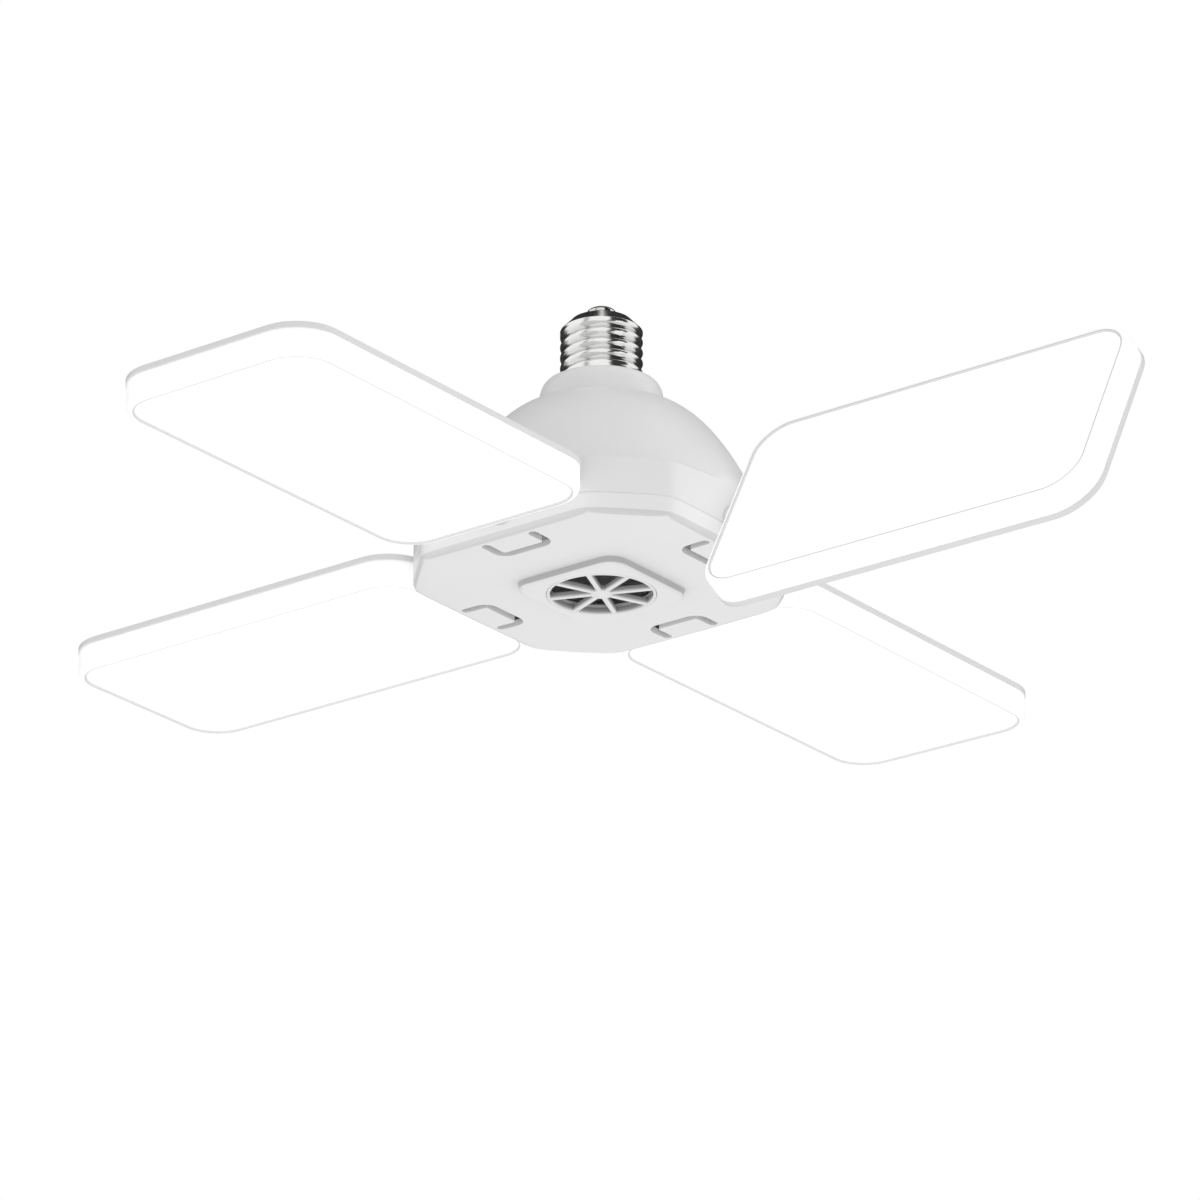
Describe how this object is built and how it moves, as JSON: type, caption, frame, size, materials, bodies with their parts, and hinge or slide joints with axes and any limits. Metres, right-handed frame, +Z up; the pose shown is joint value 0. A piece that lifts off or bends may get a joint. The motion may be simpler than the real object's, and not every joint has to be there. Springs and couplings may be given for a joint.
{
  "type": "deformable garage light",
  "caption": "Screw-in ceiling light: flat diffused light panels on swivel barrels round a bell-shaped hub with a vented cover, each panel turning about its own barrel.",
  "frame": {"origin": "on the hub's axis, at the lower rim of the screw cap", "axes": "+Z up through the screw cap into the lamp holder; +X along the swivel axis of panel 1, +Y along that of panel 2"},
  "size_m": [0.382, 0.382, 0.1216],
  "materials": {
    "nickel_shell": "bright nickel plating with fine turning marks",
    "cap_glass": "dark glazed insulator",
    "lead_insulation": "soft lead insulation",
    "housing_plastic": "fine satin moulded white",
    "grille_plastic": "fine satin moulded white",
    "circuit_board": "green solder mask",
    "screw_steel": "zinc plated",
    "transformer_tape": "yellow tape over a ferrite core",
    "capacitor_sleeve": "shrink sleeve",
    "ferrite": "dark ferrite",
    "chip_plastic": "moulded black package",
    "resistor_enamel": "enamel coat",
    "friction_rubber": "matt rubber",
    "shell_plastic": "fine satin moulded white",
    "milky_diffuser": "milky, lit from inside",
    "white_board": "white solder mask on aluminium",
    "led_package": "phosphor gel in a white package",
    "arm_plastic": "filled nylon",
    "clip_steel": "spring steel"
  },
  "bodies": {
    "hub": {"cap_shell": "nickel_shell", "cap_insulator": "cap_glass", "cap_contact": "nickel_shell", "cap_leads": "lead_insulation", "bell_housing": "housing_plastic", "bottom_cover": "housing_plastic", "vent_grille": "grille_plastic", "driver_board": "circuit_board", "driver_screws": "screw_steel", "transformer": "transformer_tape", "bulk_capacitor": "capacitor_sleeve", "choke": "ferrite", "bridge_rectifier": "chip_plastic", "fuse_resistor": "resistor_enamel", "driver_chip": "chip_plastic", "hub_leads": "lead_insulation", "friction_ring_1": "friction_rubber", "friction_ring_2": "friction_rubber", "friction_ring_3": "friction_rubber", "friction_ring_4": "friction_rubber"},
    "panel_1": {"swivel_arm_1": "arm_plastic", "back_shell_1": "shell_plastic", "diffuser_1": "milky_diffuser", "led_board_1": "white_board", "led_chips_1": "led_package", "board_screws_1": "screw_steel", "arm_screws_1": "screw_steel", "retaining_clip_1": "clip_steel", "panel_leads_1": "lead_insulation"},
    "panel_2": {"swivel_arm_2": "arm_plastic", "back_shell_2": "shell_plastic", "diffuser_2": "milky_diffuser", "led_board_2": "white_board", "led_chips_2": "led_package", "board_screws_2": "screw_steel", "arm_screws_2": "screw_steel", "retaining_clip_2": "clip_steel", "panel_leads_2": "lead_insulation"},
    "panel_3": {"swivel_arm_3": "arm_plastic", "back_shell_3": "shell_plastic", "diffuser_3": "milky_diffuser", "led_board_3": "white_board", "led_chips_3": "led_package", "board_screws_3": "screw_steel", "arm_screws_3": "screw_steel", "retaining_clip_3": "clip_steel", "panel_leads_3": "lead_insulation"},
    "panel_4": {"swivel_arm_4": "arm_plastic", "back_shell_4": "shell_plastic", "diffuser_4": "milky_diffuser", "led_board_4": "white_board", "led_chips_4": "led_package", "board_screws_4": "screw_steel", "arm_screws_4": "screw_steel", "retaining_clip_4": "clip_steel", "panel_leads_4": "lead_insulation"}
  },
  "joints": [
    {"name": "panel_swivel_1", "type": "hinge", "parent": "hub", "child": "panel_1", "pos_m": [0.045, 0, -0.059], "axis": [1, 0, 0], "range_deg": [-2, 238]},
    {"name": "panel_swivel_2", "type": "hinge", "parent": "hub", "child": "panel_2", "pos_m": [0, 0.045, -0.059], "axis": [0, 1, 0], "range_deg": [-120, 120]},
    {"name": "panel_swivel_3", "type": "hinge", "parent": "hub", "child": "panel_3", "pos_m": [-0.045, 0, -0.059], "axis": [-1, 0, 0], "range_deg": [-120, 120]},
    {"name": "panel_swivel_4", "type": "hinge", "parent": "hub", "child": "panel_4", "pos_m": [0, -0.045, -0.059], "axis": [0, -1, 0], "range_deg": [-120, 120]}
  ]
}
